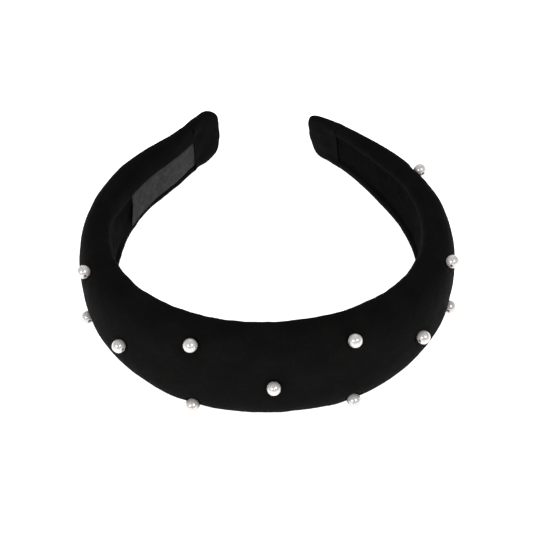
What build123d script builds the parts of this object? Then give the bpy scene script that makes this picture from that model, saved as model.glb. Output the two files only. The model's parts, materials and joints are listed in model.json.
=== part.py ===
"""Padded velvet hair hoop with pearls sewn to its outer face.

The hoop lies on its lower edge: +X to the right, -Y towards the crown, tips towards +Y, +Z up.
It is drawn first in the plane of the hoop, and then tilted so that the crown and both tips rest
on the ground. All sizes are in millimetres.

A place along the hoop is its distance from the middle of the crown, measured along the line where
the pad is widest: positive to the right, negative to the left. In a cross section, "out" is away
from the head and "up" runs across the band.
"""
from build123d import *
import os
from math import atan2, cos, degrees, hypot, pi, radians, sin

os.makedirs("parts", exist_ok=True)

# ---- plan of the hoop: four tangent arcs on each side (radius, length) ----
crown_radius = 86.0
crown_length = 18.0
side_radius = 66.5
side_length = 90.0
rear_radius = 81.0
rear_length = 48.0
end_radius = 145.0
end_length = 51.0

# ---- padded section ----
crown_half_width = 21.8
arm_half_width = 13.2
taper_distance = 79.0        # where the width is half way from crown to arm
pad_rise = 10.0              # from the widest line out to the top of the pad
tip_rise = 3.3
rise_falls_from = 75.0       # distance where the pad starts to thin
roll_depth = 6.2             # from the widest line in to the crest of the edge rolls
tip_depth = 2.2
rolls_flatten_length = 57.0  # from the tip to where the edge rolls start to flatten
rolls_flat_length = 7.0      # from the tip to where they have flattened
outer_squareness = 2.6       # superellipse exponents of the section
inner_squareness = 3.5

# ---- lean of the section: positive leans the upper edge inwards, in degrees ----
crown_lean = 3.0
left_arm_lean = -7.0
right_arm_lean = -4.0
left_tip_lean = 0.0
right_tip_lean = 11.0
lean_starts = 72.0
lean_middle = 135.0

# ---- layers ----
velvet_thickness = 1.6
core_thickness = 2.0
core_edge_clearance = 3.0    # from the inner face of the velvet to the edge of the core
lining_thickness = 0.6
lining_edge_clearance = 4.0
lining_recess = 2.3          # from the crest of the edge rolls to the lining
tip_recess = 1.5
layer_gap = 0.1

# ---- blank woven label on the lining of the left arm, beside the tip wrap ----
label_width = 11.0
label_length = 44.0
label_thickness = 0.4
label_edge_gap = 0.2         # from its lower edge to the lower edge of the lining

# ---- ends ----
wrap_length = 20.0           # from the tip to where cover and pad stop
wrap_gap = 0.3
core_end_margin = 2.5        # from the end of the core to the end of the tip wrap
lining_tuck = 4.0            # how far the lining runs under the tip wrap
wrap_flare = 0.5             # the wrap stands this much proud of the cover it meets
wrap_end_scale = 0.45
wrap_round_length = 8.0

# ---- hinges that stand for the flexing of the hoop, midway between two pearls ----
open_angle = 12.0            # each arm, outwards
close_angle = 5.0            # each arm, inwards
angle_margin = 2.0
hinge_slit = 0.4
reach = 45.0                 # half size of the cutting wedges
cutter_height = 60.0
plan_limit = 160.0
centre_gap = 2.0             # the cutting regions of the two arms stay this far apart

# ---- pearls ----
pearl_diameter = 6.0
pearl_bore = 1.0
pearl_pitch = 29.0
pearl_row = 0.73             # upper and lower rows, as a share of the half width
pearl_sink = 1.0             # how far the pearl presses into the velvet
dimple_gap = 0.1
thread_diameter = 0.5
thread_gap = 0.15
thread_clearance = 0.07      # from the pearl to each leg of its stitch
thread_run_below = 0.9       # from the inner face of the velvet to the run under it

# ---- drawing steps ----
section_points = 28
section_step = 11.0
SIDES = {"left": -1, "right": 1}

plan_arcs = [
    (crown_radius, crown_length),
    (side_radius, side_length),
    (rear_radius, rear_length),
    (end_radius, end_length),
]
half_length = sum(length for _, length in plan_arcs)

# ---- places that follow from the sizes above ----
cover_end = half_length - wrap_length
depth_falls_from = half_length - rolls_flatten_length
depth_falls_to = half_length - rolls_flat_length
core_edge_margin = velvet_thickness + core_edge_clearance
lining_edge_margin = velvet_thickness + lining_edge_clearance
label_drop = arm_half_width - lining_edge_margin - label_width / 2 - label_edge_gap
hinge_distance = 1.5 * pearl_pitch
pearl_stand = pearl_diameter / 2 - pearl_sink
thread_side = pearl_diameter / 2 + thread_clearance + thread_diameter / 2
thread_depth = pearl_stand + velvet_thickness + thread_run_below


def ramp(distance, start, end):
    """0 before start, 1 after end, and straight between them."""
    return min(max((distance - start) / (end - start), 0.0), 1.0)


def blend(distance, start, end):
    """The same with soft ends."""
    share = ramp(distance, start, end)
    return share * share * (3 - 2 * share)


def plan_place(distance):
    """Point and heading (radians) of the plan line, with the crown at the origin heading +X."""
    x, y, heading, left = 0.0, 0.0, 0.0, abs(distance)
    for radius, length in plan_arcs:
        part = min(left, length)
        turned = heading + part / radius
        x += radius * (sin(turned) - sin(heading))
        y += radius * (cos(heading) - cos(turned))
        heading = turned
        left -= part
    x += left * cos(heading)
    y += left * sin(heading)
    if distance < 0:
        return -x, y, -heading
    return x, y, heading


def half_width(distance):
    bell = 1 / (1 + (abs(distance) / taper_distance) ** 4)
    return arm_half_width + (crown_half_width - arm_half_width) * bell


def rise(distance):
    return pad_rise + (tip_rise - pad_rise) * ramp(abs(distance), rise_falls_from, half_length)


def depth(distance):
    return roll_depth + (tip_depth - roll_depth) * blend(abs(distance), depth_falls_from, depth_falls_to)


def recess(distance):
    return lining_recess + (tip_recess - lining_recess) * blend(
        abs(distance), depth_falls_from, depth_falls_to
    )


def lean(distance):
    arm_lean, tip_lean = (
        (left_arm_lean, left_tip_lean) if distance < 0 else (right_arm_lean, right_tip_lean)
    )
    towards_arm = (arm_lean - crown_lean) * blend(abs(distance), lean_starts, lean_middle)
    towards_tip = (tip_lean - arm_lean) * blend(abs(distance), lean_middle, half_length)
    return radians(crown_lean + towards_arm + towards_tip)


def section_frame(distance):
    """Origin, along, out and up of the cross section at a distance."""
    x, y, heading = plan_place(distance)
    along = Vector(cos(heading), sin(heading), 0)
    level_out = Vector(sin(heading), -cos(heading), 0)
    tilt = lean(distance)
    out = level_out * cos(tilt) + Vector(0, 0, sin(tilt))
    up = Vector(0, 0, cos(tilt)) - level_out * sin(tilt)
    return Vector(x, y, 0), along, out, up


def place(distance, out_by, up_by):
    origin, _, out, up = section_frame(distance)
    return origin + out * out_by + up * up_by


def signed_power(value, exponent):
    return abs(value) ** exponent if value >= 0 else -(abs(value) ** exponent)


def rounded_section(distance, inset, width_scale=1.0, proud=0.0):
    """Closed superellipse-like outline of the padded band, drawn in by inset."""
    wide = half_width(distance) * width_scale + proud - inset
    high = rise(distance) * width_scale + proud - inset
    low = depth(distance) * width_scale + proud - inset
    points = []
    for i in range(section_points):
        angle = 2 * pi * i / section_points
        squareness = outer_squareness if cos(angle) >= 0 else inner_squareness
        reach_out = high if cos(angle) >= 0 else low
        out_by = reach_out * signed_power(cos(angle), 2 / squareness)
        up_by = wide * signed_power(sin(angle), 2 / squareness)
        points.append(place(distance, out_by, up_by))
    return Wire([Edge.make_spline(points, periodic=True)])


def flat_section(distance, low, high, half, middle=0.0):
    """Rectangle from low to high in the out direction, and half each way up and down from its middle."""
    corners = [(low, middle - half), (high, middle - half), (high, middle + half), (low, middle + half)]
    return Wire.make_polygon([place(distance, out_by, up_by) for out_by, up_by in corners])


def stations(start, end, step=section_step):
    count = max(2, round((end - start) / step))
    return [start + (end - start) * i / count for i in range(count + 1)]


def core_inner_face(distance):
    return -depth(distance) + recess(distance) + lining_thickness + layer_gap


def lining_face(distance):
    return -depth(distance) + recess(distance)


def padded_loft(end, inset):
    return Solid.make_loft([rounded_section(d, inset) for d in stations(-end, end)])


def core_loft(end, gap=0.0):
    """The springy strip, or with a gap the pocket around it."""
    def outline(distance):
        inner = core_inner_face(distance) - gap
        outer = core_inner_face(distance) + core_thickness + gap
        return flat_section(distance, inner, outer, half_width(distance) - core_edge_margin + gap)

    return Solid.make_loft([outline(d) for d in stations(-end - gap, end + gap)])


def lining_loft(end, gap=0.0):
    def outline(distance):
        inner = lining_face(distance) - gap
        outer = lining_face(distance) + lining_thickness + gap
        return flat_section(distance, inner, outer, half_width(distance) - lining_edge_margin + gap)

    return Solid.make_loft([outline(d) for d in stations(-end - gap, end + gap)])


def channel_loft(end):
    """The space between the two edge rolls, down to the inner face of the core."""
    def outline(distance):
        inner = -depth(distance) - roll_depth
        outer = core_inner_face(distance) - layer_gap / 2
        half = half_width(distance) - lining_edge_margin + 2 * layer_gap
        return flat_section(distance, inner, outer, half)

    return Solid.make_loft([outline(d) for d in stations(-end, end)])


def label_loft(end):
    """A strip as long as the lining, drawn at the same places, so that it follows the same curve."""
    def outline(distance):
        outer = lining_face(distance) - layer_gap
        return flat_section(distance, outer - label_thickness, outer, label_width / 2, -label_drop)

    return Solid.make_loft([outline(d) for d in stations(-end, end)])


# ---- hinge places and the regions of the three bodies ----
def hinge_place(side):
    origin, _, out, _ = section_frame(side * hinge_distance)
    middle = core_inner_face(hinge_distance) + core_thickness / 2
    level_out = Vector(out.X, out.Y, 0).normalized()
    return origin + level_out * middle


def hinge_line(side, body_side):
    """Three plan points of the cut at one hinge: far out, at the slit, far in.

    body_side is -1 for the face of the crown and +1 for the face of the arm.
    """
    middle = hinge_place(side)
    _, along, out, _ = section_frame(side * hinge_distance)
    level_out = Vector(out.X, out.Y, 0).normalized()
    towards = along * side * body_side
    outer_half = radians(open_angle + angle_margin) / 2
    inner_half = radians(close_angle + angle_margin) / 2
    slit = middle + towards * (hinge_slit / 2)
    outer = slit + (level_out * cos(outer_half) + towards * sin(outer_half)) * reach
    inner = slit + (level_out * -cos(inner_half) + towards * sin(inner_half)) * (reach / 2)
    return [outer, slit, inner]


def prism(points):
    outline = Wire.make_polygon([Vector(p.X, p.Y, -cutter_height) for p in points])
    return Solid.extrude(Face(outline), Vector(0, 0, 2 * cutter_height))


def crown_region():
    right = hinge_line(1, -1)
    left = hinge_line(-1, -1)
    below = [Vector(-plan_limit, -plan_limit, 0), Vector(plan_limit, -plan_limit, 0)]
    return prism(right + list(reversed(left)) + below)


def arm_region(side):
    cut = hinge_line(side, 1)
    inner = side * centre_gap / 2
    around = [
        Vector(inner, cut[2].Y, 0),
        Vector(inner, 2 * plan_limit, 0),
        Vector(side * plan_limit, 2 * plan_limit, 0),
        Vector(side * plan_limit, cut[0].Y, 0),
    ]
    return prism(cut + around)


def label_region():
    """The length of the left arm that the label covers, up to the tip wrap."""
    past = pad_rise + roll_depth
    near = [place(label_length - cover_end, out_by, 0) for out_by in (past, -past)]
    far = [place(-cover_end, out_by, 0) for out_by in (-past, past)]
    return prism(near + far)


# ---- pearls and their stitches ----
def pearl_list():
    """Name, body, distance and row (1 upper, 0 middle, -1 lower) of every pearl."""
    pearls = [("centre", "crown", 0.0, 0)]
    for side_name, side in SIDES.items():
        arm = side_name + "_arm"
        last_row = 1 if side_name == "right" else -1
        pattern = [(1, 1), (1, -1), (2, 0), (3, 1), (3, -1), (5, last_row)]
        for station, row in pattern:
            body = "crown" if station * pearl_pitch < hinge_distance else arm
            height = {1: "_upper", 0: "", -1: "_lower"}[row]
            pearls.append((f"{side_name}_{station}{height}", body, side * station * pearl_pitch, row))
    return pearls


def pearl_plane(distance, row):
    """Plane at the pearl's middle: x along the hoop, z square to the velvet."""
    wide = half_width(distance)
    high = rise(distance)
    share = row * pearl_row
    out_by = high * (1 - abs(share) ** outer_squareness) ** (1 / outer_squareness)
    slope_out = (max(out_by / high, 1e-6)) ** (outer_squareness - 1) / high
    slope_up = signed_power(share, outer_squareness - 1) / wide
    size = hypot(slope_out, slope_up)
    _, along, out, up = section_frame(distance)
    normal = out * (slope_out / size) + up * (slope_up / size)
    middle = place(distance, out_by, share * wide) + normal * pearl_stand
    return Plane(origin=middle, x_dir=along, z_dir=normal)


def pearl_solid(plane):
    bore = Cylinder(pearl_bore / 2, 2 * pearl_diameter, rotation=(0, 90, 0))
    return plane * (Sphere(pearl_diameter / 2) - bore)


def stitch_solid(plane, radius):
    """Closed loop of thread: through the bore, down both sides, and across under the cover."""
    corners = [
        (-thread_side, 0, 0),
        (thread_side, 0, 0),
        (thread_side, 0, -thread_depth),
        (-thread_side, 0, -thread_depth),
    ]
    loop = Sphere(radius).moved(Location(corners[0]))
    for i, corner in enumerate(corners):
        run = Vector(*corners[(i + 1) % 4]) - Vector(*corner)
        leg = Solid.make_cylinder(radius, run.length, Plane(origin=corner, z_dir=run))
        loop = loop + leg
        if i:
            loop = loop + Sphere(radius).moved(Location(corner))
    return plane * loop


def dimple(plane):
    return plane * Sphere(pearl_diameter / 2 + dimple_gap)


# ---- tip wraps ----
def tip_wrap(side, core_pocket, lining_pocket):
    """Velvet cap over the end of the core: it widens a little, then rounds off."""
    start = cover_end + wrap_gap
    outlines = []
    for distance in stations(start, half_length, 3.4):
        to_end = (half_length - distance) / wrap_round_length
        roundness = (1 - (1 - min(to_end, 1.0)) ** 2) ** 0.5
        scale = wrap_end_scale + (1 - wrap_end_scale) * roundness
        outlines.append(rounded_section(side * distance, 0.0, scale, wrap_flare * scale))
    return Solid.make_loft(outlines) - core_pocket - lining_pocket


# ---- the pose on the ground ----
def lowest(distance):
    """Height of the lower edge of the band's outline, in the plane of the hoop."""
    return rounded_section(distance, 0.0).bounding_box().min.Z


def ground_tilt():
    """Turn about X, in degrees, that brings the crown and the tips to the same height."""
    tip = half_length - wrap_round_length
    drop = (lowest(tip) + lowest(-tip)) / 2 - wrap_flare - lowest(0.0)
    run = plan_place(tip)[1] - plan_place(0.0)[1]
    return -degrees(atan2(drop, run))


def ground_pose(nodes):
    """Location that tilts the hoop and puts the bottom centre of its box at the origin."""
    turn = Rot(X=ground_tilt())
    box = Compound(children=[turn * shape for shape in nodes.values()]).bounding_box()
    middle = box.center()
    return Location((-middle.X, -middle.Y, -box.min.Z)) * turn


def build():
    regions = {"crown": crown_region()}
    for side_name, side in SIDES.items():
        regions[side_name + "_arm"] = arm_region(side)

    over = section_step                      # cutters run this far past what they cut
    core = core_loft(half_length - core_end_margin)
    core_pocket = core_loft(half_length - core_end_margin, layer_gap)
    lining = lining_loft(cover_end + lining_tuck)
    lining_pocket = lining_loft(cover_end + lining_tuck, layer_gap)
    channel = channel_loft(cover_end + over)
    cover = padded_loft(cover_end, 0.0) - padded_loft(cover_end + over, velvet_thickness) - channel
    pad = padded_loft(cover_end, velvet_thickness + layer_gap) - core_pocket - channel

    nodes = {}
    pearls = pearl_list()
    for body, region in regions.items():
        short = body.replace("_arm", "")
        planes = {name: pearl_plane(d, row) for name, owner, d, row in pearls if owner == body}
        holes = [stitch_solid(p, thread_diameter / 2 + thread_gap) for p in planes.values()]
        body_cover = cover & region
        body_pad = pad & region
        for plane, hole in zip(planes.values(), holes):
            body_cover = body_cover - dimple(plane) - hole
            body_pad = body_pad - hole
        nodes["core_" + short] = core & region
        nodes["pad_" + short] = body_pad
        nodes["cover_" + short] = body_cover
        nodes["lining_" + short] = lining & region
        for name, plane in planes.items():
            nodes["pearl_" + name] = pearl_solid(plane)
            nodes["stitch_" + name] = stitch_solid(plane, thread_diameter / 2)
    nodes["label_left"] = label_loft(cover_end + lining_tuck) & label_region()
    for side_name, side in SIDES.items():
        nodes["tip_wrap_" + side_name] = tip_wrap(side, core_pocket, lining_pocket)
    return nodes


def main():
    nodes = build()
    pose = ground_pose(nodes)
    for name, shape in nodes.items():
        export_step(pose * shape, f"parts/{name}.step")


if __name__ == "__main__":
    main()
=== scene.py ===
"""Looks of the padded velvet hair hoop with pearls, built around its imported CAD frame.

The hoop is described as in the CAD: in the plane of the hoop, in millimetres, by the distance along
it from the middle of the crown (positive to the right), and in a cross section by "out", away from
the head, and "up", across the band. The frame's left hinge gives the pose of that plane.
"""

import json
import math

import bpy
import numpy as np
from mathutils import Matrix, Vector


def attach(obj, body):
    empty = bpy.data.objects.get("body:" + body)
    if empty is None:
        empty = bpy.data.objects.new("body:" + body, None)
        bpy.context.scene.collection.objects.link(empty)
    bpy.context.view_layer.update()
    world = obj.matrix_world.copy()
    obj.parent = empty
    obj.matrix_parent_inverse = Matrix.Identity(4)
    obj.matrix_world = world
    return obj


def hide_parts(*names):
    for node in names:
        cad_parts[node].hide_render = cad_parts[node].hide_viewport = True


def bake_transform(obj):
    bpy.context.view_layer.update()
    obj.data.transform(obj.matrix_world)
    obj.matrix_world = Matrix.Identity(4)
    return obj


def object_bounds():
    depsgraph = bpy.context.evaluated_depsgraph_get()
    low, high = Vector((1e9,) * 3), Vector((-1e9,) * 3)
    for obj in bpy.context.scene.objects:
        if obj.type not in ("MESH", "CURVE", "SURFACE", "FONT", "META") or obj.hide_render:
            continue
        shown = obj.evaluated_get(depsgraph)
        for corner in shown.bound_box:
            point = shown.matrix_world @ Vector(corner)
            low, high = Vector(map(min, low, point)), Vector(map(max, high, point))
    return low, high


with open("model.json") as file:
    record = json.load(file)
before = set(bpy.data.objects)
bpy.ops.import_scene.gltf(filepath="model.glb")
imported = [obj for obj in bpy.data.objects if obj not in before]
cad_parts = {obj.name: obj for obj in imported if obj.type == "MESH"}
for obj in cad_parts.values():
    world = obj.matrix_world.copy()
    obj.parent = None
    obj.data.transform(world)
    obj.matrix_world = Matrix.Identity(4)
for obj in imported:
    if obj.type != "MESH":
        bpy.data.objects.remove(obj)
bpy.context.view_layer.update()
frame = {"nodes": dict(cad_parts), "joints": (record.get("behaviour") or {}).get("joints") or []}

MM = 0.001

# ---- plan of the hoop: four tangent arcs on each side (radius, length), in millimetres ----
PLAN_ARCS = [(86.0, 18.0), (66.5, 90.0), (81.0, 48.0), (145.0, 51.0)]
HALF_LENGTH = sum(length for _, length in PLAN_ARCS)

# ---- padded section ----
CROWN_HALF_WIDTH = 21.8
ARM_HALF_WIDTH = 13.2
TAPER_DISTANCE = 79.0        # where the band is halfway from its crown width to its arm width
PAD_RISE = 10.0
TIP_RISE = 3.3
RISE_FALLS_FROM = 75.0
ROLL_DEPTH = 6.2
TIP_DEPTH = 2.2
DEPTH_FALLS_FROM = HALF_LENGTH - 57.0
DEPTH_FALLS_TO = HALF_LENGTH - 7.0
OUTER_SQUARENESS = 2.6       # exponents of the superellipses: 2 is round, and more is squarer
INNER_SQUARENESS = 3.5
LINING_RECESS = 2.3          # from the edge rolls' inner face to the face of the ribbon
TIP_RECESS = 1.5

# ---- the left arm as it lies: it dips inwards before the tip, and the tip turns out ----
LEFT_DIP = 2.0
LEFT_DIP_AT = 180.0
LEFT_DIP_LENGTH = 14.0
LEFT_TURN_OUT = 1.3
LEFT_TURN_FROM = 190.0

# ---- lean of the section, in degrees, and where along the hoop it changes ----
CROWN_LEAN = 3.0
ARM_LEAN = {-1: -7.0, 1: -4.0}
TIP_LEAN = {-1: 0.0, 1: 11.0}
LEAN_STARTS = 72.0
LEAN_MIDDLE = 135.0

# ---- fabric, lining and pad ----
VELVET_THICKNESS = 1.3
TUCKED_THICKNESS = 0.12
CORE_THICKNESS = 2.0
CORE_FROM_LINING = 0.7       # from the face of the lining to the core
CORE_EDGE = 4.6              # from the widest line of the section to the edge of the core
PILE_HEIGHT = 0.45           # the pile stands this much proud of the outer face
LINING_THICKNESS = 0.5
LINING_EDGE = 5.5            # from the widest line of the section to the edge of the ribbon
LEFT_UPPER_EDGE = 10.0       # the same on the left arm, where the ribbon lies off centre
LEFT_LOWER_EDGE = 3.4
OFF_CENTRE_FROM = 112.0
OFF_CENTRE_TO = 140.0
ROUNDOVER = 2.8              # width of the edge roll's turn down to the ribbon
WIDEST_TURN = 0.985          # that turn starts at no more than this share of the half width
FOOT_SINK = 0.1              # how far the foot of the turn presses into the back of the ribbon
FOOT_UNDER = 0.2             # how far the foot lies under the edge of the ribbon
TUCK_WIDTH = 3.5             # how far the raw edge runs under the ribbon
TUCK_PATH = [(0.12, -0.15), (0.16, -0.6), (0.16, -TUCK_WIDTH)]   # (out, up) from the foot
ROLL_PUFF = 0.3
FOAM_INSET = 1.75
COVER_END = HALF_LENGTH - 20.0   # where the tip wrap takes over from the cover
COVER_TUCK = 9.0             # how far cover, pad and ribbon run under the tip wrap
ALONG_COVER = COVER_END + COVER_TUCK

# ---- hem of the tip wraps ----
WRAP_START = COVER_END - 0.4
HEM_SLANT = {-1: 6.0, 1: 2.0}   # how much later each hem starts on the inner face
PRESSED_IN = 0.75               # how much the wrap presses the cover in
PRESSED_BEFORE = 0.35           # the cover turns down over this length before the hem,
PRESSED_AFTER = 0.25            # and this length behind it
INNER_FACE_AT = 0.7             # share of the depth where the inner face is reached

# ---- pearls ----
PEARL_DIAMETER = 5.6
PEARL_BORE = 1.0
BORE_MOUTH = 1.5
PEARL_PITCH = 29.0
PEARL_ROW = 0.73             # height of the upper and lower rows, as a share of the half width
PEARL_STAND = 2.0            # from the velvet to the middle of a pearl
THREAD_HUG = 0.12            # from the bead to the middle of the thread that lies on it
THREAD_LEAVES = 50.0         # where the thread leaves the bead, in degrees below its bore
THREAD_SIDE = 2.0            # from the pearl's middle to where the thread enters the velvet
THREAD_DEPTH = 4.5
DIMPLE_DEPTH = 1.2
DIMPLE_WIDTH = 2.1
PINCH_DEPTH = 0.5
PINCH_WIDTH = 0.9

# ---- stretch where the crown meets the arm, along the hoop ----
BEND_FROM = 34.0
BEND_TO = 53.0

HINGE_DISTANCE = 1.5 * PEARL_PITCH
SIDES = {"left": -1, "right": 1}
NOISE_WAVES = 28


# ======================= shape of the hoop =======================
def ramp(distance, start, end):
    """Nought before the start, one after the end, and straight between them."""
    return np.clip((distance - start) / (end - start), 0.0, 1.0)


def ease(distance, start, end):
    """As ramp, but with soft ends."""
    share = ramp(distance, start, end)
    return share * share * (3 - 2 * share)


def plan_place(distance):
    """Point and heading of the plan line, with the crown at the origin heading +X."""
    x, y, heading, left = 0.0, 0.0, 0.0, abs(distance)
    for radius, length in PLAN_ARCS:
        part = min(left, length)
        turned = heading + part / radius
        x += radius * (math.sin(turned) - math.sin(heading))
        y += radius * (math.cos(heading) - math.cos(turned))
        heading = turned
        left -= part
    x += left * math.cos(heading)
    y += left * math.sin(heading)
    if distance < 0:
        return -x, y, -heading
    return x, y, heading


def plan_point(distance):
    x, y, _ = plan_place(distance)
    return np.array([x, y, 0.0])


def half_width(distance):
    bell = 1 / (1 + (abs(distance) / TAPER_DISTANCE) ** 4)
    return ARM_HALF_WIDTH + (CROWN_HALF_WIDTH - ARM_HALF_WIDTH) * bell


def rise(distance):
    return PAD_RISE + (TIP_RISE - PAD_RISE) * ramp(abs(distance), RISE_FALLS_FROM, HALF_LENGTH)


def depth(distance):
    return ROLL_DEPTH + (TIP_DEPTH - ROLL_DEPTH) * ease(abs(distance), DEPTH_FALLS_FROM, DEPTH_FALLS_TO)


def lining_face(distance):
    recess = LINING_RECESS + (TIP_RECESS - LINING_RECESS) * ease(
        abs(distance), DEPTH_FALLS_FROM, DEPTH_FALLS_TO
    )
    return -depth(distance) + recess


def lean(distance):
    side = -1 if distance < 0 else 1
    towards_arm = (ARM_LEAN[side] - CROWN_LEAN) * ease(abs(distance), LEAN_STARTS, LEAN_MIDDLE)
    towards_tip = (TIP_LEAN[side] - ARM_LEAN[side]) * ease(abs(distance), LEAN_MIDDLE, HALF_LENGTH)
    return math.radians(CROWN_LEAN + towards_arm + towards_tip)


def sway(distance):
    """How far the left arm lies inwards of the plan line."""
    if distance > 0:
        return 0.0
    dip = LEFT_DIP * math.exp(-(((abs(distance) - LEFT_DIP_AT) / LEFT_DIP_LENGTH) ** 2))
    return dip - LEFT_TURN_OUT * ease(abs(distance), LEFT_TURN_FROM, HALF_LENGTH)


def section_frame(distance):
    """Origin, along, out and up of the cross section, in the plane of the hoop."""
    x, y, heading = plan_place(distance)
    tilt = lean(distance)
    along = np.array([math.cos(heading), math.sin(heading), 0.0])
    level_out = np.array([math.sin(heading), -math.cos(heading), 0.0])
    out = level_out * math.cos(tilt) + np.array([0, 0, math.sin(tilt)])
    up = np.array([0, 0, math.cos(tilt)]) - level_out * math.sin(tilt)
    return np.array([x, y, 0.0]) - level_out * sway(distance), along, out, up


def hoop_pose():
    """Rotation and shift from the plane of the hoop to the frame, from the left hinge."""
    hinge = next(j for j in frame["joints"] if j["name"] == "left_arm_flex")
    axis = Vector(hinge["axis"]).normalized()
    tilt = math.atan2(-axis.y, axis.z)
    turn = np.array(Matrix.Rotation(tilt, 3, "X"))
    origin, _, out, _ = section_frame(-HINGE_DISTANCE)
    level_out = np.array([out[0], out[1], 0.0])
    level_out /= np.linalg.norm(level_out)
    middle = lining_face(HINGE_DISTANCE) + CORE_FROM_LINING + CORE_THICKNESS / 2
    local = origin + level_out * middle
    return turn, np.array(hinge["pos_m"]) / MM - turn @ local


TURN, SHIFT = hoop_pose()


def to_frame(points):
    """Points in the plane of the hoop, in millimetres, to the frame, in metres."""
    return (np.asarray(points, float) @ TURN.T + SHIFT) * MM


def signed_power(values, exponent):
    return np.sign(values) * np.abs(values) ** exponent


def section_ring(high, low, wide, count):
    """Closed (out, up) ring of a padded section: rounder outwards and squarer inwards."""
    angle = np.linspace(0, 2 * np.pi, count, endpoint=False)
    outwards = np.cos(angle) >= 0
    squareness = np.where(outwards, OUTER_SQUARENESS, INNER_SQUARENESS)
    reach = np.where(outwards, high, low)
    return np.stack([
        reach * signed_power(np.cos(angle), 2 / squareness),
        wide * signed_power(np.sin(angle), 2 / squareness),
    ], axis=1)


def resampled(path, count):
    """The same path with its points evenly spread."""
    steps = np.hypot(*np.diff(path, axis=0).T)
    run = np.concatenate([[0], np.cumsum(steps)])
    wanted = np.linspace(0, run[-1], count)
    return np.stack([np.interp(wanted, run, path[:, i]) for i in (0, 1)], axis=1)


def resampled_ring(path, count):
    """The same closed ring with its points evenly spread. The first point isn't repeated."""
    return resampled(np.concatenate([path, path[:1]]), count + 1)[:-1]


def smooth_noise(points, height, wavelength, seed):
    """Soft bumps of about this height: a sum of sine waves in seeded directions."""
    draw = np.random.default_rng(seed)
    directions = draw.normal(size=(NOISE_WAVES, 3))
    directions /= np.linalg.norm(directions, axis=1)[:, None]
    rates = 2 * np.pi / wavelength * draw.uniform(0.6, 1.5, NOISE_WAVES)
    phases = draw.uniform(0, 2 * np.pi, NOISE_WAVES)
    total = np.zeros(points.shape[:-1])
    for direction, rate, phase in zip(directions, rates, phases):
        total += np.sin(points @ direction * rate + phase)
    return height * (total / math.sqrt(NOISE_WAVES / 2))


def placed(distances, paths):
    """Grid of points from one (out, up) path at each distance."""
    grid = np.empty((len(distances), paths.shape[1], 3))
    for row, distance in enumerate(distances):
        origin, _, out, up = section_frame(distance)
        grid[row] = origin + paths[row][:, :1] * out + paths[row][:, 1:] * up
    return grid


def grid_normals(grid, closed=False):
    along = np.gradient(grid, axis=0)
    if closed:
        around = np.roll(grid, -1, axis=1) - np.roll(grid, 1, axis=1)
    else:
        around = np.gradient(grid, axis=1)
    normals = np.cross(around, along)
    return normals / np.maximum(np.linalg.norm(normals, axis=2, keepdims=True), 1e-9)


# ======================= pearls: their places =======================
def pearl_list():
    """Name, body, distance and row (1 upper, 0 middle, -1 lower) of every pearl."""
    pearls = [("centre", "crown", 0.0, 0)]
    for side_name, side in SIDES.items():
        last_row = 1 if side_name == "right" else -1
        pattern = [(1, 1), (1, -1), (2, 0), (3, 1), (3, -1), (5, last_row)]
        for station, row in pattern:
            body = "crown" if station * PEARL_PITCH < HINGE_DISTANCE else side_name + "_arm"
            height = {1: "_upper", 0: "", -1: "_lower"}[row]
            pearls.append((f"{side_name}_{station}{height}", body, side * station * PEARL_PITCH, row))
    return pearls


def pearl_axes(distance, row):
    """Middle of the pearl, and its axes along the hoop, across the band and square to the velvet."""
    wide = half_width(distance)
    high = rise(distance)
    share = row * PEARL_ROW
    out_by = high * (1 - abs(share) ** OUTER_SQUARENESS) ** (1 / OUTER_SQUARENESS)
    slope_out = (out_by / high) ** (OUTER_SQUARENESS - 1) / high
    slope_up = float(signed_power(np.float64(share), OUTER_SQUARENESS - 1)) / wide
    size = math.hypot(slope_out, slope_up)
    origin, along, out, up = section_frame(distance)
    normal = out * (slope_out / size) + up * (slope_up / size)
    middle = origin + out * out_by + up * (share * wide) + normal * PEARL_STAND
    return middle, along, np.cross(normal, along), normal


PEARLS = [(name, body, pearl_axes(distance, row)) for name, body, distance, row in pearl_list()]


def pulled_in(points):
    """How far the velvet is pulled in by the pearls and their stitches, at each point."""
    pull = np.zeros(points.shape[:-1])
    for _, _, (middle, along, _, normal) in PEARLS:
        touch = middle - normal * PEARL_STAND
        apart = ((points - touch) ** 2).sum(axis=-1)
        pull += DIMPLE_DEPTH * np.exp(-apart / (2 * DIMPLE_WIDTH**2))
        for end in (-1, 1):
            apart = ((points - touch - along * end * THREAD_SIDE) ** 2).sum(axis=-1)
            pull += PINCH_DEPTH * np.exp(-apart / (2 * PINCH_WIDTH**2))
    return pull


# ======================= mesh building =======================
def make_mesh(name, points, faces, material, flat_faces=(), uvs=None):
    """An object from points in the plane of the hoop. uvs is one pair per point."""
    mesh = bpy.data.meshes.new(name)
    mesh.from_pydata(to_frame(points).tolist(), [], faces)
    mesh.validate()
    mesh.polygons.foreach_set("use_smooth", [True] * len(mesh.polygons))
    if flat_faces:
        sharp = {tuple(sorted(key)) for i in flat_faces for key in mesh.polygons[i].edge_keys}
        for edge in mesh.edges:
            edge.use_edge_sharp = tuple(sorted(edge.key)) in sharp
    if uvs is not None:
        layer = mesh.uv_layers.new(name="weave")
        corners = np.empty(len(mesh.loops), dtype=np.int32)
        mesh.loops.foreach_get("vertex_index", corners)
        layer.data.foreach_set("uv", np.asarray(uvs, np.float32)[corners].ravel())
    mesh.materials.append(material)
    mesh.update()
    piece = bpy.data.objects.new(name, mesh)
    bpy.context.scene.collection.objects.link(piece)
    return piece


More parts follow.
